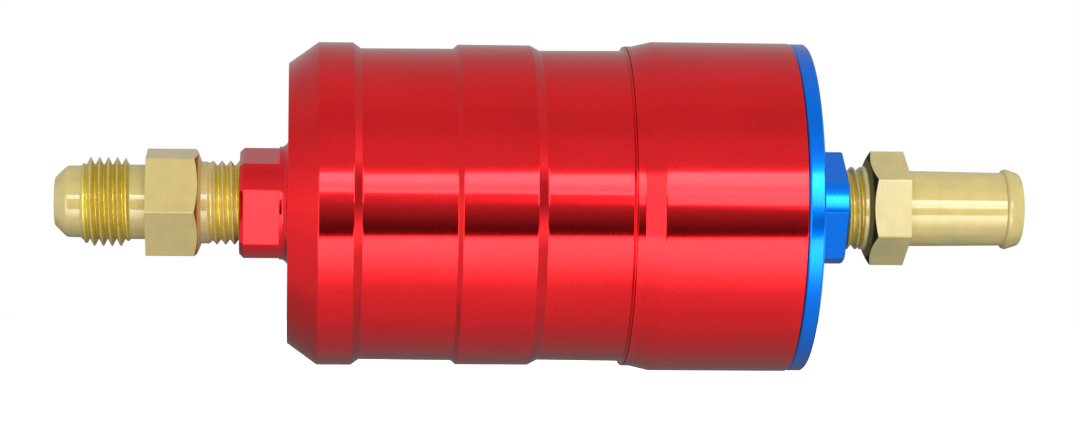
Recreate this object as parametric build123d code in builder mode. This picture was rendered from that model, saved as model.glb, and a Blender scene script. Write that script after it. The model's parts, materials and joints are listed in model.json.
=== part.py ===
from build123d import *
import os
from math import cos, pi, radians, sin

# In-line fuel filter with a screwed housing. Millimetres.
# X runs with the flow, from the flare inlet (-X) to the hose outlet (+X), and +Z is up.
# The origin is on the axis, half way along the overall length.
# Turned outlines are lists of (x, radius) points; each makes one closed half section.

os.makedirs("parts", exist_ok=True)

# ---- driving dimensions -------------------------------------------------------------

overall_length = 156.38
inlet_end_x = -overall_length / 2
outlet_end_x = overall_length / 2

# fits
housing_clearance = 0.08
seal_clearance = 0.05
contact_gap = 0.02
element_clearance = 0.09
entry_chamfer = 0.5
entry_length = 0.6
spigot_chamfer = 0.5
spigot_chamfer_length = 0.8

# pipe threads in both bosses
pipe_pitch = 25.4 / 18
pipe_crest = 6.70
pipe_depth = 0.75
pipe_bore_radius = pipe_crest + seal_clearance
pipe_engagement = 9.0
pipe_bore_depth = pipe_engagement + entry_length
passage_radius = 4.50

# inlet flare adapter, brass
flare_bore_radius = 3.4
flare_nose_radius = 3.80
flare_seat_radius = 5.74
flare_pilot_radius = 5.78
flare_seat_x = inlet_end_x + (flare_seat_radius - flare_nose_radius)
flare_pilot_x = flare_seat_x + 0.3
flare_thread_x = -73.62
flare_crest = 7.10
flare_root = 6.05
flare_turns = 5
flare_neck_x = -66.13
flare_neck_radius = 5.98
flare_hex_x = -63.62
flare_hex_end_x = -54.90
flare_hex_flats = 15.875
flare_hex_clocking = 10.6
flare_hex_chamfer = 0.94
flare_hex_face_radius = 6.90
flare_shank_radius = 6.60
flare_shank_end_x = -53.50
inlet_pipe_turns = 9

# bosses on the housing and the end cap: round, with four wrench flats
boss_radius = 9.10
boss_flats = 15.80
boss_chamfer = 0.70
inlet_boss_clocking = 17.0
outlet_boss_clocking = 34.7

# inlet housing, red anodised
boss_face_x = -48.74
boss_flat_end_x = -42.40
boss_fillet_x = -41.75
boss_root_radius = 9.80
housing_face_x = -41.02
housing_face_radius = 22.54
housing_chamfer_end_x = -36.24
front_ring_radius = 26.00
front_ring_end_x = -30.76
front_groove_x = -29.47
front_groove_end_x = -14.66
groove_radius = 25.08
groove_end_radius = 25.18
rear_ring_x = -13.88
rear_ring_radius = 25.85
rear_ring_end_x = -2.28
rear_groove_x = -0.74
lip_x = 12.37
lip_full_x = 12.92
lip_radius = 25.84
lip_edge = 0.14
housing_open_x = 13.04
cavity_radius = 21.38
cavity_end_x = -34.50
cavity_corner = 2.0
screw_radius = 22.42
screw_bore_radius = screw_radius + housing_clearance
screw_bore_x = 0.20
seal_section = 0.85
seal_gland_x = -2.90
seal_gland_width = 2.60
housing_gland_depth = 2 * seal_section + contact_gap

# outlet sleeve, red anodised
sleeve_x = 13.12
sleeve_land_radius = 25.92
sleeve_land_end_x = 14.30
sleeve_taper_end_x = 17.10
sleeve_radius = 26.65
sleeve_end_x = 39.62
sleeve_edge = 0.30
spigot_x = -6.50
spigot_end_x = 0.40
spigot_radius = cavity_radius - housing_clearance
sleeve_bore_radius = 19.30
sleeve_thread_x = 1.00
sleeve_thread_end_x = 12.10
thread_relief = 0.90
cap_bore_x = 20.80
cap_thread_bore_x = 28.40

# end cap, blue anodised
cap_x = 39.66
cap_end_x = 42.31
cap_radius = 26.55
cap_edge = 0.38
outlet_boss_end_x = 49.06
cap_nose_x = 22.00
cap_nose_end_x = 28.60
cap_thread_x = 29.20
cap_thread_end_x = 38.70
cap_inner_radius = 18.20
cap_floor_x = 37.00
cap_gland_x = 25.00
cap_gland_depth = 2 * seal_section
stem_x = 28.50
stem_radius = 8.00
stem_edge = 0.40
stem_seat_x = 35.00
stem_seat_radius = 10.40
stem_seal_section = 0.70
stem_gland_x = 32.90
stem_gland_width = 2.00
stem_gland_depth = 2 * stem_seal_section

# hose nipple, brass
nipple_pipe_x = outlet_boss_end_x - pipe_engagement
nipple_pipe_turns = 8
nipple_shank_radius = 6.20
nipple_hex_x = 52.16
nipple_hex_full_x = 53.78
nipple_hex_end_x = 59.18
nipple_hex_flats = 16.13
nipple_hex_clocking = 30
nipple_hex_face_radius = 6.45
nipple_bore_radius = 4.30
nipple_root_radius = 6.11
nipple_neck_radius = 5.91
nipple_neck_end_x = 74.90
bead_rise_x = 75.61
bead_rise_radius = 6.43
bead_x = 75.96
bead_radius = 6.55
bead_fall_x = 76.26
bead_fall_radius = 6.47
nipple_tip_x = 78.04
nipple_tip_radius = 5.76
nipple_end_radius = 5.66

# filter element
element_x = -24.00
element_end_x = stem_seat_x
element_cap_radius = 17.60
element_cap_thickness = 1.20
element_rim_depth = 3.00
element_hub_end_x = 30.40
element_bore_radius = stem_radius + element_clearance
pilot_radius = 6.70
pilot_height = 2.40
pack_x = element_x + element_cap_thickness
pack_end_x = element_end_x - element_cap_thickness
pack_length = pack_end_x - pack_x

guard_wall = 0.40
guard_inner_radius = 16.98
guard_outer_radius = 17.38
guard_seat_radius = guard_outer_radius + contact_gap
guard_hole_radius = 1.6
guard_rows = 11
guard_holes_round = 18

core_inner_radius = 9.60
core_outer_radius = 10.20
core_seat_radius = core_inner_radius - contact_gap
core_hole_radius = 1.5
core_rows = 9
core_holes_round = 10

screen_inner_radius = 10.25
screen_outer_radius = 10.45

pleat_count = 36
pleat_inner_radius = 11.00
pleat_outer_radius = 16.30
pleat_wall = 0.45
pleat_tip_share = 0.10

seam_clip_depth = 2.20
seam_clip_width = 1.90
seam_clip_wall = 0.20
seam_clip_radius = pleat_outer_radius + contact_gap - seam_clip_depth / 2

# spring and its seat
spring_seat_thickness = 0.80
spring_seat_radius = 12.60
spring_seat_rim = 1.20
spring_seat_hole = 6.20
seat_face_x = cavity_end_x + spring_seat_thickness
spring_wire_radius = 0.60
spring_mean_radius = 9.00
spring_turns = 3.5
spring_x = seat_face_x + spring_wire_radius + contact_gap
spring_length = element_x - spring_wire_radius - contact_gap - spring_x


# ---- outlines that repeat -----------------------------------------------------------


def corner_radius(flats):
    """The distance from a hexagon's centre to its corners."""
    return flats / 2 / cos(radians(30))


def ridges(start_x, turns, crest, root):
    """Outline points of a thread's V ridges, from its first root to its last."""
    half_flat = pipe_pitch / 16
    points = [(start_x, root)]
    for turn in range(turns):
        middle = start_x + pipe_pitch * (turn + 0.5)
        points.append((middle - half_flat, crest))
        points.append((middle + half_flat, crest))
        points.append((middle + pipe_pitch / 2, root))
    return points


def tube_holes(x_start, length, rows, holes_round):
    """Planes of staggered rows of holes round a tube along X, each facing out from the axis."""
    planes = []
    for row in range(rows):
        x = x_start + length * (row + 0.5) / rows
        for hole in range(holes_round):
            angle = radians(360 / holes_round * (hole + 0.5 * (row % 2)))
            planes.append(Plane(origin=(x, 0, 0), x_dir=(1, 0, 0), z_dir=(0, cos(angle), sin(angle))))
    return planes


def zigzag(inner, outer, count):
    """Corner points of a closed ring of pleats, each with a narrow flat at its tip and its root."""
    step = 2 * pi / count
    tip = step * pleat_tip_share
    points = []
    for pleat in range(count):
        middle = step * pleat
        for radius, turn in ((outer, -tip), (outer, tip), (inner, step / 2 - tip), (inner, step / 2 + tip)):
            points.append((radius * cos(middle + turn), radius * sin(middle + turn)))
    return points


# ---- inlet flare adapter ------------------------------------------------------------

flare_corner = corner_radius(flare_hex_flats)
pipe_root = pipe_crest - pipe_depth
inlet_pipe_end_x = boss_face_x + pipe_engagement

flare_hex_limits = [
    (flare_hex_x, 0),
    (flare_hex_x, flare_corner),
    (flare_hex_end_x - flare_hex_chamfer, flare_corner),
    (flare_hex_end_x, flare_hex_face_radius),
    (flare_hex_end_x, 0),
]
flare_outline = [
    (inlet_end_x, 0),
    (inlet_end_x, flare_nose_radius),
    (flare_seat_x, flare_seat_radius),
    (flare_pilot_x, flare_pilot_radius),
    *ridges(flare_thread_x, flare_turns, flare_crest, flare_root),
    (flare_neck_x, flare_neck_radius),
    (flare_hex_x, flare_neck_radius),
    (flare_hex_x, flare_shank_radius),
    (flare_shank_end_x, flare_shank_radius),
    *ridges(flare_shank_end_x + pipe_depth, inlet_pipe_turns, pipe_crest, pipe_root),
    (inlet_pipe_end_x, pipe_root),
    (inlet_pipe_end_x, 0),
]

with BuildPart() as inlet_fitting:
    with BuildSketch(Plane.YZ.offset(flare_hex_x)):
        RegularPolygon(flare_hex_flats / 2, 6, major_radius=False, rotation=flare_hex_clocking)
    extrude(amount=flare_hex_end_x - flare_hex_x)
    with BuildSketch(Plane.XZ):
        Polygon(*flare_hex_limits, align=None)
    revolve(axis=Axis.X, mode=Mode.INTERSECT)
    with BuildSketch(Plane.XZ):
        Polygon(*flare_outline, align=None)
    revolve(axis=Axis.X)
    with BuildSketch(Plane.YZ.offset(inlet_end_x)):
        Circle(flare_bore_radius)
    extrude(amount=inlet_pipe_end_x - inlet_end_x, mode=Mode.SUBTRACT)
inlet_fitting.part.label = "inlet_fitting"
export_step(inlet_fitting.part, "parts/inlet_fitting.step")

# ---- inlet housing ------------------------------------------------------------------

housing_outline = [
    (boss_flat_end_x, 0),
    (boss_flat_end_x, boss_radius),
    (boss_fillet_x, boss_radius),
    (housing_face_x, boss_root_radius),
    (housing_face_x, housing_face_radius),
    (housing_chamfer_end_x, front_ring_radius),
    (front_ring_end_x, front_ring_radius),
    (front_groove_x, groove_radius),
    (front_groove_end_x, groove_end_radius),
    (rear_ring_x, rear_ring_radius),
    (rear_ring_end_x, rear_ring_radius),
    (rear_groove_x, groove_radius),
    (lip_x, groove_end_radius),
    (lip_full_x, lip_radius),
    (housing_open_x - lip_edge, lip_radius),
    (housing_open_x, lip_radius - lip_edge),
    (housing_open_x, screw_bore_radius + entry_chamfer),
    (housing_open_x - entry_length, screw_bore_radius),
    (screw_bore_x, screw_bore_radius),
    (screw_bore_x, cavity_radius),
    (cavity_end_x + cavity_corner, cavity_radius),
    (cavity_end_x, cavity_radius - cavity_corner),
    (cavity_end_x, 0),
]

with BuildPart() as inlet_housing:
    with BuildSketch(Plane.YZ.offset(boss_face_x)):
        Circle(boss_radius)
        Rectangle(boss_flats, boss_flats, rotation=inlet_boss_clocking, mode=Mode.INTERSECT)
    extrude(amount=boss_flat_end_x - boss_face_x)
    chamfer(faces().filter_by(Axis.X).sort_by(Axis.X)[0].edges(), boss_chamfer)
    with BuildSketch(Plane.XZ):
        Polygon(*housing_outline, align=None)
    revolve(axis=Axis.X)
    with BuildSketch(Plane.YZ.offset(boss_face_x)):
        Circle(pipe_bore_radius)
    extrude(amount=pipe_bore_depth, mode=Mode.SUBTRACT)
    with BuildSketch(Plane.YZ.offset(boss_face_x)):
        Circle(passage_radius)
    extrude(amount=cavity_end_x - boss_face_x, mode=Mode.SUBTRACT)
    with BuildSketch(Plane.XZ):
        with Locations((seal_gland_x, cavity_radius)):
            Rectangle(seal_gland_width, 2 * housing_gland_depth)
    revolve(axis=Axis.X, mode=Mode.SUBTRACT)
inlet_housing.part.label = "inlet_housing"
export_step(inlet_housing.part, "parts/inlet_housing.step")

# ---- housing seal, in the gland inside the housing ------------------------------------

with BuildPart() as housing_o_ring:
    with BuildSketch(Plane.XZ):
        with Locations((seal_gland_x, spigot_radius + seal_clearance + seal_section)):
            Circle(seal_section)
    revolve(axis=Axis.X)
housing_o_ring.part.label = "housing_o_ring"
export_step(housing_o_ring.part, "parts/housing_o_ring.step")

# ---- outlet sleeve -------------------------------------------------------------------

sleeve_outline = [
    (spigot_x, sleeve_bore_radius),
    (spigot_x, spigot_radius - spigot_chamfer),
    (spigot_x + spigot_chamfer_length, spigot_radius),
    (spigot_end_x, spigot_radius),
    (sleeve_thread_x, screw_radius),
    (sleeve_thread_end_x, screw_radius),
    (sleeve_thread_end_x, screw_radius - thread_relief),
    (sleeve_x, screw_radius - thread_relief),
    (sleeve_x, sleeve_land_radius - lip_edge),
    (sleeve_x + lip_edge, sleeve_land_radius),
    (sleeve_land_end_x, sleeve_land_radius),
    (sleeve_taper_end_x, sleeve_radius),
    (sleeve_end_x - sleeve_edge, sleeve_radius),
    (sleeve_end_x, sleeve_radius - sleeve_edge),
    (sleeve_end_x, screw_bore_radius + entry_chamfer),
    (sleeve_end_x - entry_length, screw_bore_radius),
    (cap_thread_bore_x, screw_bore_radius),
    (cap_thread_bore_x, cavity_radius),
    (cap_bore_x, cavity_radius),
    (cap_bore_x, sleeve_bore_radius),
]

with BuildPart() as outlet_sleeve:
    with BuildSketch(Plane.XZ):
        Polygon(*sleeve_outline, align=None)
    revolve(axis=Axis.X)
outlet_sleeve.part.label = "outlet_sleeve"
export_step(outlet_sleeve.part, "parts/outlet_sleeve.step")

# ---- end cap with its stem -----------------------------------------------------------

cap_outline = [
    (cap_nose_x, cap_inner_radius),
    (cap_nose_x, spigot_radius - spigot_chamfer),
    (cap_nose_x + spigot_chamfer_length, spigot_radius),
    (cap_nose_end_x, spigot_radius),
    (cap_thread_x, screw_radius),
    (cap_thread_end_x, screw_radius),
    (cap_thread_end_x, screw_radius - thread_relief),
    (cap_x, screw_radius - thread_relief),
    (cap_x, cap_radius - cap_edge),
    (cap_x + cap_edge, cap_radius),
    (cap_end_x - cap_edge, cap_radius),
    (cap_end_x, cap_radius - cap_edge),
    (cap_end_x, 0),
    (stem_x, 0),
    (stem_x, stem_radius - stem_edge),
    (stem_x + stem_edge, stem_radius),
    (stem_seat_x, stem_radius),
    (stem_seat_x, stem_seat_radius),
    (cap_floor_x, stem_seat_radius),
    (cap_floor_x, cap_inner_radius),
]

with BuildPart() as end_cap:
    with BuildSketch(Plane.YZ.offset(cap_end_x)):
        Circle(boss_radius)
        Rectangle(boss_flats, boss_flats, rotation=outlet_boss_clocking, mode=Mode.INTERSECT)
    extrude(amount=outlet_boss_end_x - cap_end_x)
    with BuildSketch(Plane.XZ):
        Polygon(*cap_outline, align=None)
    revolve(axis=Axis.X)
    with BuildSketch(Plane.YZ.offset(outlet_boss_end_x)):
        Circle(pipe_bore_radius)
    extrude(amount=-pipe_bore_depth, mode=Mode.SUBTRACT)
    with BuildSketch(Plane.YZ.offset(outlet_boss_end_x)):
        Circle(nipple_bore_radius)
    extrude(amount=stem_x - outlet_boss_end_x, mode=Mode.SUBTRACT)
    with BuildSketch(Plane.XZ):
        with Locations((cap_gland_x, spigot_radius)):
            Rectangle(seal_gland_width, 2 * cap_gland_depth)
        with Locations((stem_gland_x, stem_radius)):
            Rectangle(stem_gland_width, 2 * stem_gland_depth)
    revolve(axis=Axis.X, mode=Mode.SUBTRACT)
end_cap.part.label = "end_cap"
export_step(end_cap.part, "parts/end_cap.step")

# ---- end cap seal and stem seal ------------------------------------------------------

with BuildPart() as cap_o_ring:
    with BuildSketch(Plane.XZ):
        with Locations((cap_gland_x, cavity_radius - seal_clearance - seal_section)):
            Circle(seal_section)
    revolve(axis=Axis.X)
cap_o_ring.part.label = "cap_o_ring"
export_step(cap_o_ring.part, "parts/cap_o_ring.step")

with BuildPart() as element_o_ring:
    with BuildSketch(Plane.XZ):
        with Locations((stem_gland_x, stem_radius + seal_clearance - stem_seal_section)):
            Circle(stem_seal_section)
    revolve(axis=Axis.X)
element_o_ring.part.label = "element_o_ring"
export_step(element_o_ring.part, "parts/element_o_ring.step")

# ---- hose nipple ---------------------------------------------------------------------

nipple_corner = corner_radius(nipple_hex_flats)

nipple_hex_limits = [
    (nipple_hex_x, 0),
    (nipple_hex_x, nipple_hex_face_radius),
    (nipple_hex_full_x, nipple_corner),
    (nipple_hex_end_x, nipple_corner),
    (nipple_hex_end_x, 0),
]
nipple_outline = [
    (nipple_pipe_x, 0),
    *ridges(nipple_pipe_x, nipple_pipe_turns, pipe_crest, pipe_root),
    (nipple_hex_x, nipple_shank_radius),
    (nipple_hex_end_x, nipple_shank_radius),
    (nipple_hex_end_x, nipple_root_radius),
    (nipple_neck_end_x, nipple_neck_radius),
    (bead_rise_x, bead_rise_radius),
    (bead_x, bead_radius),
    (bead_fall_x, bead_fall_radius),
    (nipple_tip_x, nipple_tip_radius),
    (outlet_end_x, nipple_end_radius),
    (outlet_end_x, 0),
]

with BuildPart() as outlet_fitting:
    with BuildSketch(Plane.YZ.offset(nipple_hex_x)):
        RegularPolygon(nipple_hex_flats / 2, 6, major_radius=False, rotation=nipple_hex_clocking)
    extrude(amount=nipple_hex_end_x - nipple_hex_x)
    with BuildSketch(Plane.XZ):
        Polygon(*nipple_hex_limits, align=None)
    revolve(axis=Axis.X, mode=Mode.INTERSECT)
    with BuildSketch(Plane.XZ):
        Polygon(*nipple_outline, align=None)
    revolve(axis=Axis.X)
    with BuildSketch(Plane.YZ.offset(nipple_pipe_x)):
        Circle(nipple_bore_radius)
    extrude(amount=outlet_end_x - nipple_pipe_x, mode=Mode.SUBTRACT)
outlet_fitting.part.label = "outlet_fitting"
export_step(outlet_fitting.part, "parts/outlet_fitting.step")

# ---- filter element ------------------------------------------------------------------

inlet_cap_outline = [
    (element_x - pilot_height, 0),
    (element_x - pilot_height, pilot_radius),
    (element_x, pilot_radius),
    (element_x, element_cap_radius),
    (element_x + element_rim_depth, element_cap_radius),
    (element_x + element_rim_depth, guard_seat_radius),
    (pack_x, guard_seat_radius),
    (pack_x, 0),
]

with BuildPart() as element_inlet_cap:
    with BuildSketch(Plane.XZ):
        Polygon(*inlet_cap_outline, align=None)
    revolve(axis=Axis.X)
element_inlet_cap.part.label = "element_inlet_cap"
export_step(element_inlet_cap.part, "parts/element_inlet_cap.step")

outlet_cap_outline = [
    (element_end_x, element_bore_radius),
    (element_end_x, element_cap_radius),
    (element_end_x - element_rim_depth, element_cap_radius),
    (element_end_x - element_rim_depth, guard_seat_radius),
    (pack_end_x, guard_seat_radius),
    (pack_end_x, core_seat_radius),
    (element_hub_end_x, core_seat_radius),
    (element_hub_end_x, element_bore_radius),
]

with BuildPart() as element_outlet_cap:
    with BuildSketch(Plane.XZ):
        Polygon(*outlet_cap_outline, align=None)
    revolve(axis=Axis.X)
element_outlet_cap.part.label = "element_outlet_cap"
export_step(element_outlet_cap.part, "parts/element_outlet_cap.step")

with BuildPart() as core_tube:
    with BuildSketch(Plane.YZ.offset(pack_x)):
        Circle(core_outer_radius)
        Circle(core_inner_radius, mode=Mode.SUBTRACT)
    extrude(amount=pack_length)
    with BuildSketch(*tube_holes(pack_x, pack_length, core_rows, core_holes_round)):
        Circle(core_hole_radius)
    extrude(amount=core_outer_radius + 1, mode=Mode.SUBTRACT)
core_tube.part.label = "core_tube"
export_step(core_tube.part, "parts/core_tube.step")

with BuildPart() as core_screen:
    with BuildSketch(Plane.YZ.offset(pack_x)):
        Circle(screen_outer_radius)
        Circle(screen_inner_radius, mode=Mode.SUBTRACT)
    extrude(amount=pack_length)
core_screen.part.label = "core_screen"
export_step(core_screen.part, "parts/core_screen.step")

with BuildPart() as filter_media:
    with BuildSketch(Plane.YZ.offset(pack_x)):
        Polygon(*zigzag(pleat_inner_radius, pleat_outer_radius, pleat_count), align=None)
        offset(amount=-pleat_wall, kind=Kind.INTERSECTION, mode=Mode.SUBTRACT)
    extrude(amount=pack_length)
filter_media.part.label = "filter_media"
export_step(filter_media.part, "parts/filter_media.step")

with BuildPart() as seam_clip:
    with BuildSketch(Plane.YZ.offset(pack_x)):
        with Locations((seam_clip_radius + seam_clip_wall, 0)):
            Rectangle(seam_clip_depth, seam_clip_width)
        with Locations((seam_clip_radius, 0)):
            Rectangle(seam_clip_depth, seam_clip_width - 2 * seam_clip_wall, mode=Mode.SUBTRACT)
    extrude(amount=pack_length)
seam_clip.part.label = "seam_clip"
export_step(seam_clip.part, "parts/seam_clip.step")

with BuildPart() as outer_guard:
    with BuildSketch(Plane.YZ.offset(pack_x)):
        Circle(guard_outer_radius)
        Circle(guard_inner_radius, mode=Mode.SUBTRACT)
    extrude(amount=pack_length)
    with BuildSketch(*tube_holes(pack_x, pack_length, guard_rows, guard_holes_round)):
        Circle(guard_hole_radius)
    extrude(amount=guard_outer_radius + 1, mode=Mode.SUBTRACT)
outer_guard.part.label = "outer_guard"
export_step(outer_guard.part, "parts/outer_guard.step")

# ---- spring and its seat -------------------------------------------------------------

seat_outline = [
    (cavity_end_x, spring_seat_hole),
    (cavity_end_x, spring_seat_radius),
    (seat_face_x + spring_seat_rim, spring_seat_radius),
    (seat_face_x + spring_seat_rim, spring_seat_radius - spring_seat_thickness),
    (seat_face_x, spring_seat_radius - spring_seat_thickness),
    (seat_face_x, spring_seat_hole),
]

with BuildPart() as spring_seat:
    with BuildSketch(Plane.XZ):
        Polygon(*seat_outline, align=None)
    revolve(axis=Axis.X)
spring_seat.part.label = "spring_seat"
export_step(spring_seat.part, "parts/spring_seat.step")

with BuildPart() as element_spring:
    with BuildLine() as coil:
        Helix(
            spring_length / spring_turns,
            spring_length,
            spring_mean_radius,
            center=(spring_x, 0, 0),
            direction=(1, 0, 0),
        )
    with BuildSketch(Plane(origin=coil.line @ 0, z_dir=coil.line % 0)):
        Circle(spring_wire_radius)
    sweep(is_frenet=True)
element_spring.part.label = "element_spring"
export_step(element_spring.part, "parts/element_spring.step")
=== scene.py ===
import json
from math import acos, atan, ceil, cos, pi, radians, sin, sqrt, tan

import bmesh
import bpy
from mathutils import Matrix, Vector


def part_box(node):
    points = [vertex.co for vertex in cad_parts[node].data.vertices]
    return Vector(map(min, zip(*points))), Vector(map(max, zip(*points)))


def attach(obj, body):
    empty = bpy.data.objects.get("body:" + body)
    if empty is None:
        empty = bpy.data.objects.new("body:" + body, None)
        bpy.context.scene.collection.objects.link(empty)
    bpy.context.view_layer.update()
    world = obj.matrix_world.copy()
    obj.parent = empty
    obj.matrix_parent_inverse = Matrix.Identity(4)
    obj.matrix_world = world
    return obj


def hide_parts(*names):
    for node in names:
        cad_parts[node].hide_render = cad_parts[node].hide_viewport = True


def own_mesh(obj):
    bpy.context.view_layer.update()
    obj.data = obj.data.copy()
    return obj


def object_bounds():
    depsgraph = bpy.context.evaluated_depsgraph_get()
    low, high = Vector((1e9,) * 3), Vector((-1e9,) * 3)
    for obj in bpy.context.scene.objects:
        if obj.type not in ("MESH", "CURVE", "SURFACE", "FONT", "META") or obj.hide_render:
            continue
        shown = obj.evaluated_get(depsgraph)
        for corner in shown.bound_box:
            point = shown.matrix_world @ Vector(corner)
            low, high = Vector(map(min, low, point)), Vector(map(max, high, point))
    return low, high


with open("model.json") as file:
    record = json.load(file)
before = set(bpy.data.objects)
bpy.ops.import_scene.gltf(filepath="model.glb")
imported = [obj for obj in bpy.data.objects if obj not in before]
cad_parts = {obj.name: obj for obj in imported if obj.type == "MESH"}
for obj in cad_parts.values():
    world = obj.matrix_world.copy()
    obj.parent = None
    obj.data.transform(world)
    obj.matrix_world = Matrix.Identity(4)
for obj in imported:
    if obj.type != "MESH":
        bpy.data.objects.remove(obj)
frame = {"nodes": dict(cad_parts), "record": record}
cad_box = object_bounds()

# Looks for the in-line fuel filter. Lengths in the outlines below are millimetres along X and out from
# the X axis; angles go round the axis from the camera side (-Y) towards the top (+Z).

MM = 0.001

PIPE_PITCH, PIPE_ROOT = 25.4 / 18, 5.98
SCREW_PITCH, SCREW_ROOT, SCREW_CREST = 1.5, 21.55, 22.42
SCREW_RELIEF, SCREW_BORE, SCREW_MOUTH = 21.52, 22.5, 23.0
SPIGOT, SPIGOT_TIP, SPIGOT_BORE = 21.30, 20.80, 21.38
BOSS, BOSS_FLATS, BOSS_BORE, BOSS_MOUTH = 9.10, 15.80, 6.75, 6.95
EDGE, FINE_EDGE = 0.10, 0.06

THREAD_FLAT = 0.08
ROWS_PER_TURN = 18
ROUND_STEPS = 4
ROUND_REACH, STRIP_REACH = 0.45, 0.48
SHARP_ANGLE = radians(40)
WELD = 1e-7


# ---- turned shapes --------------------------------------------------------------------


def eased(points):
    """Rounds an outline's corners. points are (x, radius, round-off); returns (x, radius). Each round has a
    narrow flat strip on both sides, so that the straight runs between rounds shade flat. On a short run,
    the round and its strip reach no further than ROUND_REACH and STRIP_REACH of its length."""
    out = []
    for i, (x, r, ease) in enumerate(points):
        if ease <= 0:
            out.append((x, r))
            continue
        before, after = points[i - 1], points[(i + 1) % len(points)]
        here = Vector((x, r))
        back = Vector(before[:2]) - here
        on = Vector(after[:2]) - here
        back_way = back.normalized() if back.length else back
        on_way = on.normalized() if on.length else on
        start = here + back_way * min(ease, ROUND_REACH * back.length)
        end = here + on_way * min(ease, ROUND_REACH * on.length)
        corner = [here + back_way * min(2 * ease, STRIP_REACH * back.length)]
        for step in range(ROUND_STEPS + 1):
            t = step / ROUND_STEPS
            corner.append(start * (1 - t) ** 2 + here * 2 * t * (1 - t) + end * t**2)
        corner.append(here + on_way * min(2 * ease, STRIP_REACH * on.length))
        out.extend((p.x, p.y) for p in corner)
    return out


def spun(name, angles, outline):
    """A closed mesh round the X axis. outline(angle) gives the closed section at each angle, with the
    same number of points every time."""
    columns = [eased(outline(a)) for a in angles]
    rows = len(columns[0])
    verts = [
        (x * MM, -r * cos(a) * MM, r * sin(a) * MM)
        for a, column in zip(angles, columns)
        for x, r in column
    ]
    count = len(columns)
    faces = []
    for i in range(count):
        j = (i + 1) % count
        for k in range(rows):
            m = (k + 1) % rows
            faces.append((i * rows + k, i * rows + m, j * rows + m, j * rows + k))
    mesh = bpy.data.meshes.new(name)
    mesh.from_pydata(verts, [], faces)
    bm = bmesh.new()
    bm.from_mesh(mesh)
    bmesh.ops.remove_doubles(bm, verts=bm.verts, dist=WELD)
    bmesh.ops.dissolve_degenerate(bm, edges=bm.edges, dist=WELD)
    bmesh.ops.recalc_face_normals(bm, faces=bm.faces)
    bm.to_mesh(mesh)
    bm.free()
    piece = bpy.data.objects.new(name, mesh)
    bpy.context.scene.collection.objects.link(piece)
    for p in mesh.polygons:
        p.use_smooth = True
    mesh.set_sharp_from_angle(angle=SHARP_ANGLE)
    return piece


def ring_angles(count, corners=(), spread=0.0):
    """Angles round the axis: even ones, and closer ones round each hexagon corner."""
    found = {round(2 * pi * i / count, 6) for i in range(count)}
    for corner in corners:
        for share in (-1, -0.5, 0, 0.5, 1):
            found.add(round((corner + share * spread) % (2 * pi), 6))
    return sorted(found)


class Hexagon:
    """A hexagonal bar: its radius at each angle, with its six long edges slightly rounded."""

    def __init__(self, flats, clocking, edge_radius):
        self.apothem = flats / 2
        self.clocking = radians(clocking)
        self.edge = edge_radius
        self.centre = (self.apothem - edge_radius) / cos(pi / 6)
        reach = atan((self.apothem - edge_radius) * tan(pi / 6) / self.apothem)
        self.spread = pi / 6 - reach

    def radius(self, angle):
        off = (angle - self.clocking + pi / 6) % (pi / 3) - pi / 6
        if abs(off) < self.spread:
            return self.centre * cos(off) + sqrt(self.edge**2 - (self.centre * sin(off)) ** 2)
        return self.apothem / cos(pi / 6 - abs(off))

    def angles(self, count):
        return ring_angles(count, [self.clocking + i * pi / 3 for i in range(6)], self.spread)


class Flatted:
    """A round bar with four flats milled on it: its radius at each angle, with slightly rounded edges."""

    def __init__(self, radius, flats, clocking):
        self.round = radius
        self.apothem = flats / 2
        self.clocking = radians(clocking)
        self.reach = acos(self.apothem / radius)

    def radius(self, angle):
        off = (angle - self.clocking + pi / 4) % (pi / 2) - pi / 4
        return min(self.round, self.apothem / cos(off))

    def angles(self, count):
        edges = []
        for flat in range(4):
            for side in (-1, 1):
                edges.append(self.clocking + flat * pi / 2 + side * self.reach)
        return ring_angles(count, edges, radians(0.8))


def hexagon_rows(radius, start, start_face, start_slope, end, end_face, end_slope, ease):
    """A hexagonal head at one angle, where its radius is given. Each end has a cone that starts at the
    end face at radius face and rises by slope per millimetre until it meets the flat."""
    first = start + max(0, radius - start_face) / start_slope
    last = end - max(0, radius - end_face) / end_slope
    return [
        (start, min(radius, start_face), ease),
        (first, radius, ease),
        (last, radius, ease),
        (end, min(radius, end_face), ease),
    ]


def thread_rows(angle, start, end, root, crest, pitch, crest_x, fade_in=0.6, fade_out=0.6, ends=None):
    """A right-hand V thread at one angle, from start to end. crest_x is where a crest passes over the top
    of the part. Over fade_in and fade_out turns, the thread dies away to the radii in ends. THREAD_FLAT is
    the share of the pitch that is flat on the crest, and in the valley."""
    start_radius, end_radius = ends or (root, root)
    rows = ceil((end - start) / pitch * ROWS_PER_TURN)
    points = []
    for i in range(rows + 1):
        x = start + (end - start) * i / rows
        phase = ((x - crest_x) / pitch + (angle - pi / 2) / (2 * pi)) % 1
        ridge = min(1.0, max(0.0, (abs(2 * phase - 1) - THREAD_FLAT) / (1 - 2 * THREAD_FLAT)))
        radius = root + (crest - root) * ridge
        begun = min(1.0, (x - start) / (fade_in * pitch))
        left = min(1.0, (end - x) / (fade_out * pitch))
        radius = start_radius + (radius - start_radius) * begun
        radius = end_radius + (radius - end_radius) * left
        points.append((x, radius, 0))
    return points


# ---- materials ------------------------------------------------------------------------


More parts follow.
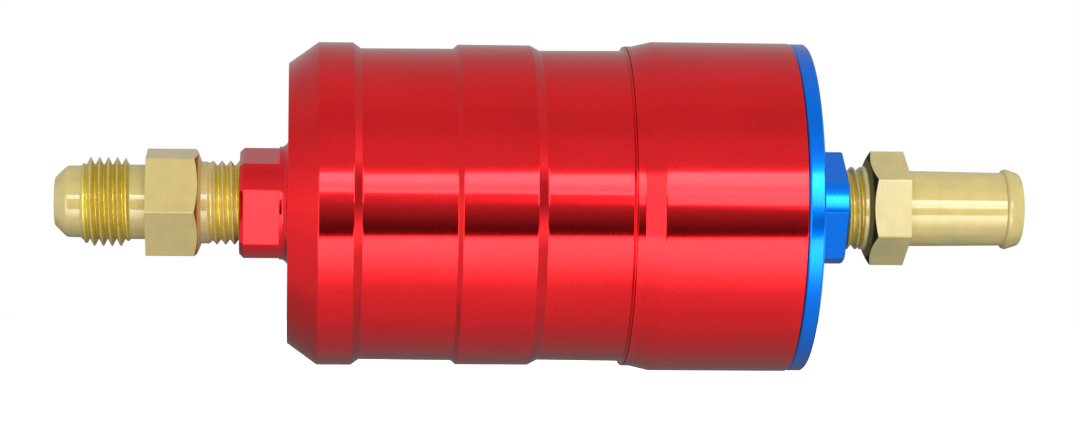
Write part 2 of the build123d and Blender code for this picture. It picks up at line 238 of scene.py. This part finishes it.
class Graph:
    """Sums and mixes made of shader nodes, in the node tree self.tree."""

    def math(self, operation, *values):
        node = self.tree.nodes.new("ShaderNodeMath")
        node.operation = operation
        for socket, value in zip(node.inputs, values):
            if isinstance(value, (int, float)):
                socket.default_value = value
            else:
                self.tree.links.new(value, socket)
        return node.outputs[0]

    def rise(self, value, low, high):
        """0 below low, 1 above high, smooth between."""
        node = self.tree.nodes.new("ShaderNodeMapRange")
        node.interpolation_type = "SMOOTHSTEP"
        node.inputs["From Min"].default_value = low
        node.inputs["From Max"].default_value = high
        self.tree.links.new(value, node.inputs["Value"])
        return node.outputs["Result"]

    def above(self, value, edge, soft):
        """0 below the edge and 1 above it, blended over soft on both sides."""
        return self.rise(value, edge - soft, edge + soft)

    def below(self, value, edge, soft):
        return self.math("SUBTRACT", 1, self.above(value, edge, soft))

    def between(self, value, low, high, soft):
        return self.math("SUBTRACT", self.above(value, low, soft), self.above(value, high, soft))

    def mix(self, share, a, b):
        """a where share is 0, b where it is 1."""
        keep = self.math("MULTIPLY", self.math("SUBTRACT", 1, share), a)
        take = self.math("MULTIPLY", share, b)
        return self.math("ADD", keep, take)


class Shader(Graph):
    """A node-based material with a Principled shader."""

    def __init__(self, name, **values):
        self.material = bpy.data.materials.new(name)
        self.material.use_nodes = True
        self.tree = self.material.node_tree
        self.bsdf = self.tree.nodes["Principled BSDF"]
        for socket, value in values.items():
            self.bsdf.inputs[socket.replace("_", " ")].default_value = value
        self.place = self.node("ShaderNodeTexCoord").outputs["Object"]

    def node(self, kind, **settings):
        made = self.tree.nodes.new(kind)
        for key, value in settings.items():
            setattr(made, key, value)
        return made

    def link(self, a, b):
        self.tree.links.new(a, b)

    def stretched(self, scale):
        """Object coordinates, scaled along each axis."""
        mapping = self.node("ShaderNodeMapping")
        mapping.inputs["Scale"].default_value = scale
        self.link(self.place, mapping.inputs["Vector"])
        return mapping.outputs["Vector"]

    def noise(self, vector, scale, detail=2.0, roughness=0.5):
        made = self.node("ShaderNodeTexNoise")
        made.inputs["Scale"].default_value = scale
        made.inputs["Detail"].default_value = detail
        made.inputs["Roughness"].default_value = roughness
        self.link(vector, made.inputs["Vector"])
        return made.outputs["Fac"]

    def spread(self, value, low, high, new_low, new_high):
        made = self.node("ShaderNodeMapRange")
        for key, number in (("From Min", low), ("From Max", high), ("To Min", new_low), ("To Max", new_high)):
            made.inputs[key].default_value = number
        self.link(value, made.inputs["Value"])
        return made.outputs["Result"]

    def blend(self, share, a, b):
        """Colour a where share is 0, b where it is 1. Each is three numbers or an output."""
        made = self.node("ShaderNodeMix", data_type="RGBA")
        for socket, colour in (("A", a), ("B", b)):
            if isinstance(colour, tuple):
                made.inputs[socket].default_value = (*colour, 1)
            else:
                self.link(colour, made.inputs[socket])
        self.link(share, made.inputs["Factor"])
        return made.outputs["Result"]

    def tint(self, value, low, high):
        """Base colour that varies between two colours."""
        self.link(self.blend(value, low, high), self.bsdf.inputs["Base Color"])

    def axial(self):
        """Millimetres along the X axis, and out from it."""
        split = self.node("ShaderNodeSeparateXYZ")
        self.link(self.place, split.inputs[0])
        x, y, z = split.outputs
        out = self.math("SQRT", self.math("ADD", self.math("MULTIPLY", y, y), self.math("MULTIPLY", z, z)))
        return self.math("DIVIDE", x, MM), self.math("DIVIDE", out, MM)

    def bump(self, height, depth, strength=1.0):
        made = self.node("ShaderNodeBump")
        made.inputs["Distance"].default_value = depth
        made.inputs["Strength"].default_value = strength
        self.link(height, made.inputs["Height"])
        self.link(made.outputs["Normal"], self.bsdf.inputs["Normal"])

    def round_about_x(self):
        """Turns the anisotropic streaks to follow the lathe's marks."""
        tangent = self.node("ShaderNodeTangent", direction_type="RADIAL", axis="X")
        self.link(tangent.outputs["Tangent"], self.bsdf.inputs["Tangent"])


def anodised(name, colour, deep, coat, polish):
    """Turned aluminium with a clear dyed oxide layer: fine rings round the axis, a bright coat. polish is
    the lowest and highest roughness of the rings."""
    s = Shader(
        name, Metallic=1.0, Roughness=polish[0], Anisotropic=0.6, Anisotropic_Rotation=0.25,
        Coat_Weight=coat, Coat_Roughness=0.05, Coat_IOR=1.5,
    )
    s.round_about_x()
    rings = s.noise(s.stretched((9000, 30, 30)), 1.0, detail=3)
    patches = s.noise(s.stretched((60, 60, 60)), 1.0, detail=2)
    grain = s.spread(s.noise(s.place, 2600, detail=2, roughness=0.6), 0.25, 0.75, 0.92, 1.06)
    worn = s.blend(s.spread(patches, 0.35, 0.65, 0, 1), deep, colour)
    scaled = s.node("ShaderNodeVectorMath", operation="SCALE")
    s.link(worn, scaled.inputs[0])
    s.link(grain, scaled.inputs["Scale"])
    s.link(scaled.outputs[0], s.bsdf.inputs["Base Color"])
    s.link(s.spread(rings, 0.3, 0.7, *polish), s.bsdf.inputs["Roughness"])
    s.bump(rings, 0.0000012)
    return s.material


def brass(name, tone, threads, valley_shade_tone, chamfer, cone_shade):
    """Machined brass: a dull turned surface under a bright burnished skin, with fine tool rings and a
    little tarnish. threads gives each thread's start, end and crest radius: its valleys are painted with
    valley_shade_tone, a painted shade and bounce light of deeper gold. chamfer is the cone on the hexagon's
    inner end, as (x, radius there, slope, radius where the painted shade starts, radius where it is
    deepest), and cone_shade is the two colours of painted shade that the cone darkens through, a painted
    dark reflection; the coat is taken off there too."""
    s = Shader(
        name, Metallic=1.0, Roughness=0.84,
        Coat_Weight=1.0, Coat_Roughness=0.07, Coat_IOR=1.68,
    )
    along, out = s.axial()
    rings = s.noise(s.stretched((5200, 12, 12)), 1.0, detail=3)
    tarnish = s.noise(s.stretched((350, 350, 350)), 1.0, detail=4)
    tarnished, valley_rough, soft = 0.92, 0.55, 0.25
    dull = tuple(tarnished * c for c in tone)
    colour = s.blend(s.spread(tarnish, 0.3, 0.7, 0, 1), dull, tone)
    rough = s.spread(rings, 0.3, 0.7, 0.80, 0.88)
    # Painted shade and bounce light: each thread's valleys take a deeper gold in place of the light bouncing
    # between the flanks, and a lower roughness.
    for start, end, crest in threads:
        valley = s.math("SUBTRACT", 1, s.rise(out, crest - 0.40, crest - 0.05))
        valley = s.math("MULTIPLY", valley, s.between(along, start, end, soft))
        colour = s.blend(valley, colour, valley_shade_tone)
        rough = s.mix(valley, rough, valley_rough)
    # Painted shade: the hexagon's inner cone darkens through two colours and loses its coat, a painted dark
    # reflection.
    face_x, face, slope, edge, deepest = chamfer
    cone = s.math("MULTIPLY_ADD", along, slope, face - slope * face_x)
    off_cone = s.math("ABSOLUTE", s.math("SUBTRACT", out, cone))
    on_cone = s.math("SUBTRACT", 1, s.rise(off_cone, 0.06, 0.20))
    cone_shade_share = s.math("MULTIPLY", on_cone, s.rise(out, edge, edge + soft))
    colour = s.blend(cone_shade_share, colour, s.blend(s.rise(out, deepest - 0.6, deepest), *cone_shade))
    s.link(colour, s.bsdf.inputs["Base Color"])
    s.link(s.math("SUBTRACT", 1, cone_shade_share), s.bsdf.inputs["Coat Weight"])
    s.link(rough, s.bsdf.inputs["Roughness"])
    s.bump(rings, 0.0000005)
    return s.material


def rubber(name):
    s = Shader(name, Roughness=0.45)
    s.bsdf.inputs["Specular IOR Level"].default_value = 0.4
    grain = s.noise(s.place, 2500, detail=3)
    s.tint(grain, (0.012, 0.012, 0.012), (0.03, 0.03, 0.03))
    s.link(s.spread(grain, 0.3, 0.7, 0.38, 0.55), s.bsdf.inputs["Roughness"])
    s.bump(grain, 0.00002, 0.6)
    return s.material


def steel(name, tone, rough):
    s = Shader(name, Metallic=1.0, Roughness=rough)
    grain = s.noise(s.stretched((300, 4000, 4000)), 1.0, detail=3)
    s.tint(grain, tuple(c * 0.85 for c in tone), tone)
    s.link(s.spread(grain, 0.3, 0.7, rough * 0.8, rough * 1.2), s.bsdf.inputs["Roughness"])
    s.bump(grain, 0.000003)
    return s.material


def paper(name):
    """Resin-treated cellulose: cream, fibrous, dull."""
    s = Shader(name, Roughness=0.9)
    s.bsdf.inputs["Specular IOR Level"].default_value = 0.2
    fibres = s.noise(s.stretched((700, 2600, 2600)), 1.0, detail=6, roughness=0.7)
    s.tint(s.spread(fibres, 0.3, 0.7, 0, 1), (0.62, 0.53, 0.36), (0.84, 0.77, 0.60))
    s.bump(fibres, 0.00006, 0.8)
    return s.material


RED = anodised("red_anodised", (0.80, 0.0085, 0.0140), (0.76, 0.0070, 0.0120), 0.32, (0.09, 0.14))
BLUE = anodised("blue_anodised", (0.0, 0.200, 0.94), (0.0, 0.190, 0.91), 0.18, (0.24, 0.30))
# Both brasses carry painted shade in their thread valleys and on the hexagon's inner cone.
ADAPTER_BRASS = brass(
    "adapter_brass",
    tone=(0.70, 0.60, 0.255),
    threads=[(-73.7, -66.2, 7.14), (-53.3, -39.8, 6.76)],
    valley_shade_tone=(0.68, 0.55, 0.08),
    chamfer=(-54.90, 6.90, -2.41, 7.70, 8.60),
    cone_shade=((0.50, 0.26, 0.05), (0.36, 0.13, 0.015)),
)
NIPPLE_BRASS = brass(
    "nipple_brass",
    tone=(0.78, 0.67, 0.285),
    threads=[(40.2, 51.95, 6.74)],
    valley_shade_tone=(0.66, 0.51, 0.07),
    chamfer=(52.58, 6.72, 2.20, 6.75, 8.25),
    cone_shade=((0.33, 0.25, 0.06), (0.055, 0.040, 0.032)),
)
RUBBER = rubber("seal_rubber")
STEEL = steel("stainless_steel", (0.62, 0.61, 0.59), 0.32)
SPRING = steel("spring_steel", (0.45, 0.45, 0.46), 0.28)
PAPER = paper("filter_paper")


def finish(piece, body, node, material):
    """Gives a piece its material and body, and hides the CAD node that it stands for."""
    piece.data.materials.clear()
    piece.data.materials.append(material)
    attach(piece, body)
    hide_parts(node)


# ---- pieces ---------------------------------------------------------------------------


def inlet_fitting():
    """Brass flare adapter: 45 degree nose, V thread, hexagon, shank and pipe thread."""
    bar = Hexagon(15.875, -10.6, 0.2)
    face, bore = -78.19, 3.4

    def outline(angle):
        radius = bar.radius(angle)
        return (
            [
                (face, bore, 0.1),
                (face, 3.80, 0.3),
                (-76.26, 5.72, 0.4),
                (-73.95, 5.78, 0),
            ]
            + thread_rows(angle, -73.90, -66.05, PIPE_ROOT, 7.14, PIPE_PITCH, -69.75, 0.75, 0.7)
            + [(-65.95, PIPE_ROOT, 0), (-63.66, PIPE_ROOT, 0.05)]
            + hexagon_rows(radius, -63.62, 9.05, 1.0, -54.90, 6.90, 2.41, FINE_EDGE)
            + [(-54.86, 6.62, 0.05), (-54.30, 6.60, 0)]
            + thread_rows(
                angle, -54.10, -39.80, PIPE_ROOT, 6.76, PIPE_PITCH, -51.62, 1.1, 0.5, (6.60, PIPE_ROOT)
            )
            + [(-39.74, 5.9, 0), (-39.74, bore, 0.1)]
        )

    piece = spun("flare_adapter", bar.angles(240), outline)
    finish(piece, "housing", "inlet_fitting", ADAPTER_BRASS)


def inlet_housing():
    """Red housing with its boss, stepped rings and open end."""
    bar = Flatted(BOSS, BOSS_FLATS, -17.0)
    chamfer = 0.70

    def outline(angle):
        radius = bar.radius(angle)
        return [
            (-39.14, BOSS_BORE, 0),
            (-48.50, BOSS_BORE, 0),
            (-48.74, BOSS_MOUTH, FINE_EDGE),
            (-48.74, radius - chamfer, FINE_EDGE),
            (-48.74 + chamfer, radius, EDGE),
            (-42.43, radius, 0.03),
            (-42.38, BOSS, 0.03),
            (-41.75, BOSS, 0.3),
            (-41.02, 9.80, 0.3),
            (-41.02, 22.54, 0.12),
            (-36.24, 26.00, 0.12),
            (-30.76, 26.00, EDGE),
            (-29.47, 25.08, EDGE),
            (-14.66, 25.18, EDGE),
            (-13.88, 25.85, EDGE),
            (-2.28, 25.85, EDGE),
            (-0.74, 25.02, EDGE),
            (12.62, 25.15, 0.08),
            (12.86, 25.84, FINE_EDGE),
            (13.04, 25.84, FINE_EDGE),
            (13.04, SCREW_MOUTH, 0),
            (12.44, SCREW_BORE, 0),
            (0.20, SCREW_BORE, 0),
            (0.20, SPIGOT_BORE, 0),
            (-1.60, SPIGOT_BORE, 0),
            (-1.60, 23.10, 0),
            (-4.20, 23.10, 0),
            (-4.20, SPIGOT_BORE, 0),
            (-34.5, SPIGOT_BORE, 2.0),
            (-34.5, 4.5, 0),
            (-39.14, 4.5, 0),
        ]

    piece = spun("housing_shell", bar.angles(360), outline)
    finish(piece, "housing", "inlet_housing", RED)


def outlet_sleeve():
    """Red sleeve: threaded spigot, short land, taper and long cylinder."""

    def outline(angle):
        return (
            [
                (-6.50, 19.30, 0),
                (-6.50, SPIGOT_TIP, EDGE),
                (-5.70, SPIGOT, EDGE),
                (0.40, SPIGOT, 0),
            ]
            + thread_rows(angle, 0.60, 12.00, SCREW_ROOT, SCREW_CREST, SCREW_PITCH, 6.0)
            + [
                (12.15, SCREW_RELIEF, 0),
                (13.12, SCREW_RELIEF, 0.1),
                (13.12, 25.90, FINE_EDGE),
                (14.30, 25.90, FINE_EDGE),
                (17.45, 26.65, EDGE),
                (39.62, 26.65, EDGE),
                (39.62, SCREW_MOUTH, 0),
                (39.02, SCREW_BORE, 0),
                (28.40, SCREW_BORE, 0),
                (28.40, SPIGOT_BORE, 0),
                (20.80, SPIGOT_BORE, 0),
                (20.80, 19.30, 0),
            ]
        )

    piece = spun("sleeve_shell", ring_angles(360), outline)
    finish(piece, "sleeve", "outlet_sleeve", RED)


def end_cap():
    """Blue end cap: threaded nose with its seal groove, thin rim, and boss with four flats."""
    bar = Flatted(BOSS, BOSS_FLATS, -34.7)

    def outline(angle):
        radius = bar.radius(angle)
        return (
            [
                (22.00, 18.20, 0),
                (22.00, SPIGOT_TIP, EDGE),
                (22.80, SPIGOT, EDGE),
                (23.70, SPIGOT, 0),
                (23.70, 19.60, 0),
                (26.30, 19.60, 0),
                (26.30, SPIGOT, 0),
                (28.60, SPIGOT, 0),
            ]
            + thread_rows(angle, 28.80, 38.60, SCREW_ROOT, SCREW_CREST, SCREW_PITCH, 34.0)
            + [
                (38.70, SCREW_RELIEF, 0),
                (39.66, SCREW_RELIEF, 0.1),
                (39.66, 26.28, FINE_EDGE),
                (40.08, 26.55, FINE_EDGE),
                (42.05, 26.55, FINE_EDGE),
                (42.31, 26.30, FINE_EDGE),
                (42.31, radius + 0.15, 0.1),
                (42.46, radius, 0.1),
                (48.86, radius, EDGE),
                (49.06, radius - 0.20, EDGE),
                (49.06, BOSS_MOUTH, FINE_EDGE),
                (48.82, BOSS_BORE, 0),
                (39.46, BOSS_BORE, 0),
                (39.46, 4.30, 0),
                (28.50, 4.30, 0),
                (28.50, 7.60, 0),
                (28.90, 8.00, 0),
                (31.90, 8.00, 0),
                (31.90, 6.60, 0),
                (33.90, 6.60, 0),
                (33.90, 8.00, 0),
                (35.00, 8.00, 0),
                (35.00, 10.40, 0),
                (37.00, 10.40, 0),
                (37.00, 18.20, 0),
            ]
        )

    piece = spun("cap_shell", bar.angles(360), outline)
    finish(piece, "cap", "end_cap", BLUE)


def outlet_fitting():
    """Brass hose nipple: pipe thread, hexagon, smooth neck and rounded bead."""
    bar = Hexagon(16.13, 30.0, 0.2)

    def outline(angle):
        radius = bar.radius(angle)
        return (
            [(40.06, 4.30, 0.1), (40.06, 5.92, 0)]
            + thread_rows(angle, 40.16, 51.98, PIPE_ROOT, 6.74, PIPE_PITCH, 50.63, 0.5, 0.1, (5.95, 6.45))
            + [(52.02, 6.72, 0.03)]
            + hexagon_rows(radius, 52.58, 6.72, 2.20, 59.20, 9.6, 8.0, FINE_EDGE)
            + [
                (59.20, 6.32, 0.1),
                (59.34, 6.15, 0.1),
                (67.0, 6.06, 0),
                (75.32, 5.94, 0.05),
                (75.52, 6.36, 0.1),
                (75.95, 6.57, 0.2),
                (77.90, 5.93, 0.2),
                (78.19, 5.60, 0.15),
                (78.19, 4.30, 0.15),
            ]
        )

    piece = spun("hose_nipple", bar.angles(240), outline)
    finish(piece, "cap", "outlet_fitting", NIPPLE_BRASS)


def element_spring():
    """Coil spring with closed ends, between its seat and the element."""
    low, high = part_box("element_spring")
    wire, coil = 0.6 * MM, 9.0 * MM
    turns, closed, sides, steps = 4.5, 0.75, 14, 300
    closed_pitch = 2.05 * wire
    start, end = low.x + wire, high.x - wire
    path = []
    for i in range(steps + 1):
        turn = turns * i / steps
        share = min(1, max(0, (turn - closed) / (turns - 2 * closed)))
        lift = share * (end - start - 2 * closed * closed_pitch)
        lift += (min(turn, closed) + max(0, turn - (turns - closed))) * closed_pitch
        angle = 2 * pi * turn
        path.append((start + lift, Vector((0, cos(angle), sin(angle)))))
    bm = bmesh.new()
    loops = []
    for x, out in path:
        centre = Vector((x, 0, 0)) + out * coil
        loop = []
        for k in range(sides):
            a = 2 * pi * k / sides
            loop.append(bm.verts.new(centre + out * (wire * cos(a)) + Vector((wire * sin(a), 0, 0))))
        loops.append(loop)
    for a, b in zip(loops, loops[1:]):
        for k in range(sides):
            m = (k + 1) % sides
            bm.faces.new((a[k], a[m], b[m], b[k]))
    bm.faces.new(loops[0])
    bm.faces.new(list(reversed(loops[-1])))
    bmesh.ops.recalc_face_normals(bm, faces=bm.faces)
    mesh = bpy.data.meshes.new("coil_spring")
    bm.to_mesh(mesh)
    bm.free()
    for p in mesh.polygons:
        p.use_smooth = len(p.vertices) == 4
    piece = bpy.data.objects.new("coil_spring", mesh)
    bpy.context.scene.collection.objects.link(piece)
    finish(piece, "housing", "element_spring", SPRING)
    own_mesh(piece)


def carried_over():
    """The CAD nodes whose shape stays get their materials."""
    by_slot = {
        "seal_rubber": RUBBER, "stainless_steel": STEEL, "filter_paper": PAPER,
        "red_anodised": RED, "blue_anodised": BLUE, "machined_brass": ADAPTER_BRASS, "spring_steel": SPRING,
    }
    for part in frame["record"]["subparts"]:
        node = frame["nodes"][part["node"]]
        node.data.materials.clear()
        node.data.materials.append(by_slot[part["material_slot"]])


carried_over()
inlet_fitting()
inlet_housing()
outlet_sleeve()
end_cap()
outlet_fitting()
element_spring()


# ---- studio ---------------------------------------------------------------------------


class Sky(Graph):
    """The studio as a world: soft white all round, a long light above the camera, and the dark of the
    camera's own place. Angles are degrees: round is from the front (-Y) up over the top, side is from
    the front towards +X, and leaning is round for edges that hang lower towards the inlet. across is the
    part of a direction along X and height the part along Z, from -1 to 1."""

    def __init__(self):
        world = bpy.data.worlds.new("studio")
        bpy.context.scene.world = world
        world.use_nodes = True
        self.tree = world.node_tree
        self.background = self.tree.nodes["Background"]
        place = self.tree.nodes.new("ShaderNodeTexCoord")
        split = self.tree.nodes.new("ShaderNodeSeparateXYZ")
        self.tree.links.new(place.outputs["Generated"], split.inputs[0])
        x, y, z = split.outputs
        front = self.math("MULTIPLY", y, -1)
        self.round = self.math("DEGREES", self.math("ARCTAN2", z, front))
        self.side = self.math("DEGREES", self.math("ARCTAN2", x, front))
        level_side, slope, most = 7.3, 0.3, 4.0
        lean = self.math("MULTIPLY", self.math("SUBTRACT", level_side, self.side), slope)
        lean = self.math("MAXIMUM", self.math("MINIMUM", lean, most), -most)
        self.leaning = self.math("ADD", self.round, lean)
        self.across = x
        self.height = z

    def patch(self, rounds, round_soft, sides, side_soft):
        """1 in a field of directions and 0 outside it, with soft edges."""
        up = self.between(self.round, *rounds, round_soft)
        return self.math("MULTIPLY", up, self.between(self.side, *sides, side_soft))

    def levels(self, value, stops):
        """Brightness along value, straight between (value, brightness) stops."""
        low, high = stops[0][0], stops[-1][0]
        share = self.tree.nodes.new("ShaderNodeMapRange")
        share.inputs["From Min"].default_value = low
        share.inputs["From Max"].default_value = high
        self.tree.links.new(value, share.inputs["Value"])
        ramp = self.tree.nodes.new("ShaderNodeValToRGB")
        self.tree.links.new(share.outputs["Result"], ramp.inputs["Fac"])
        points = ramp.color_ramp.elements
        top = max(b for _, b in stops)
        for i, (at, bright) in enumerate(stops):
            place = (at - low) / (high - low)
            stop = points[i] if i < 2 else points.new(place)
            stop.position = place
            stop.color = (bright / top,) * 3 + (1,)
        return self.math("MULTIPLY", ramp.outputs["Color"], top)


def studio_sky():
    """Brightness by direction. The wide bright band is the lamp above the camera, the dark field under it
    is the camera and the person behind it, and the bright one below is the lit table. A plain wall is
    beside the person on the inlet side. On the outlet side a second lamp hangs below the first, and a
    small one below that. Away from the camera's side the room is dimmer, and its two ends have levels
    of their own."""
    sky = Sky()
    light = sky.levels(
        sky.round,
        [
            (-180, 0.21), (-165, 0.16), (-150, 0.20), (-125, 0.38), (-106, 0.53), (-88, 0.74), (-76, 0.84),
            (-63, 1.0), (-57, 1.25), (-50, 1.9), (-44, 2.8), (-38, 3.6), (-31, 4.3), (-22, 4.6), (0, 1.4),
            (24, 0.95), (28, 0.86), (33, 0.84), (45, 0.79), (57, 0.68), (68, 0.66), (78, 0.72),
            (100, 0.72), (134, 0.52), (180, 0.35),
        ],
    )
    lamp_low, lamp_high = 6.4, 23.6
    dark_low, dark_high = -21.8, 8.0
    dark_start, dark_end = -16.0, 32.0

    lamp = sky.levels(sky.round, [(5, 6.0), (9, 6.2), (11.5, 4.8), (13.5, 5.2), (17, 7.4), (24, 7.6)])
    band = sky.math("MULTIPLY", sky.above(sky.round, lamp_low, 0.8), sky.below(sky.leaning, lamp_high, 1.4))
    light = sky.mix(band, light, lamp)

    wall, wall_start = 2.6, -60.0
    light = sky.mix(sky.patch((-22.0, lamp_high), 1.5, (wall_start, dark_start), 1.5), light, wall)

    dark = sky.levels(
        sky.round,
        [
            (-24, 0.07), (-20, 0.09), (-15, 0.15), (-11, 0.25), (-8, 0.33), (-5, 0.42), (0, 0.56),
            (4, 0.72), (9, 0.9),
        ],
    )
    band = sky.math("MULTIPLY", sky.above(sky.leaning, dark_low, 1.5), sky.below(sky.round, dark_high, 0.8))
    person = sky.math("MULTIPLY", band, sky.between(sky.side, dark_start, dark_end, 1.5))
    light = sky.mix(person, light, dark)

    second, beside = 5.2, 4.2
    light = sky.mix(sky.patch((1.2, 9.0), 0.8, (5.95, dark_end), 0.2), light, second)
    light = sky.mix(sky.patch((-1.5, 1.2), 0.4, (9.4, 10.9), 0.3), light, beside)

    aside = sky.math("SUBTRACT", 1, sky.between(sky.side, -62.0, 34.0, 3.0))
    dimmed = 0.75
    light = sky.mix(aside, light, sky.math("MINIMUM", light, dimmed))

    inlet_end = sky.levels(
        sky.height,
        [(-1, 0.60), (-0.6, 0.76), (-0.3, 0.92), (0, 1.14), (0.3, 0.86), (0.6, 0.62), (1, 0.48)],
    )
    outlet_end = sky.levels(
        sky.height,
        [
            (-1, 0.5), (-0.4, 0.9), (-0.22, 1.7), (-0.1, 0.9), (0, 0.5), (0.2, 0.55), (0.36, 1.3),
            (0.6, 0.8), (1, 0.6),
        ],
    )
    ends = sky.mix(sky.rise(sky.across, -0.1, 0.1), inlet_end, outlet_end)
    light = sky.mix(sky.rise(sky.math("ABSOLUTE", sky.across), 0.72, 0.88), light, ends)

    seen = sky.tree.nodes.new("ShaderNodeLightPath").outputs["Is Camera Ray"]
    backdrop = 1.0
    sky.tree.links.new(sky.mix(seen, light, backdrop), sky.background.inputs["Strength"])
    sky.background.inputs["Color"].default_value = (1, 1, 1, 1)


def floor():
    """A pale floor well below the filter, which hangs free. It glows a little, to stay white."""
    size, drop = 6.0, 0.10
    bpy.ops.mesh.primitive_plane_add(size=size, location=(0, 0, cad_box[0][2] - drop))
    plane = bpy.context.object
    plane.name = "floor"
    plane.visible_glossy = False
    s = Shader("floor_white", Roughness=0.9)
    s.bsdf.inputs["Base Color"].default_value = (0.95, 0.95, 0.95, 1)
    s.bsdf.inputs["Specular IOR Level"].default_value = 0.0
    s.bsdf.inputs["Emission Color"].default_value = (1, 1, 1, 1)
    s.bsdf.inputs["Emission Strength"].default_value = 0.4
    plane.data.materials.append(s.material)


def fill_light():
    """A wide soft light overhead that keeps the floor white."""
    light = bpy.data.lights.new("overhead", "AREA")
    light.shape = "SQUARE"
    light.size, light.energy, height = 3.0, 60, 2.2
    lamp = bpy.data.objects.new("overhead", light)
    lamp.location = (0, 0, height)
    lamp.visible_glossy = False
    bpy.context.scene.collection.objects.link(lamp)


def camera():
    """Level with the axis, a little to the inlet side, turned towards the middle of the filter."""
    distance, foot_x = 0.5305, -0.040
    yaw, pitch, roll = radians(4.286), radians(-0.187), radians(0.5)
    data = bpy.data.cameras.new("camera")
    data.lens, data.sensor_width, data.clip_start = 109.39, 36.0, 0.01
    eye = bpy.data.objects.new("camera", data)
    forward = Vector((sin(yaw) * cos(pitch), cos(yaw) * cos(pitch), sin(pitch)))
    up = Vector((-sin(roll), 0, cos(roll)))
    right = forward.cross(up).normalized()
    up = right.cross(forward)
    turn = Matrix((right, up, -forward)).transposed().to_4x4()
    eye.matrix_world = Matrix.Translation((foot_x, -distance, 0)) @ turn
    bpy.context.scene.collection.objects.link(eye)
    bpy.context.scene.camera = eye


studio_sky()
floor()
fill_light()
camera()
bpy.context.scene.view_settings.view_transform = "Standard"
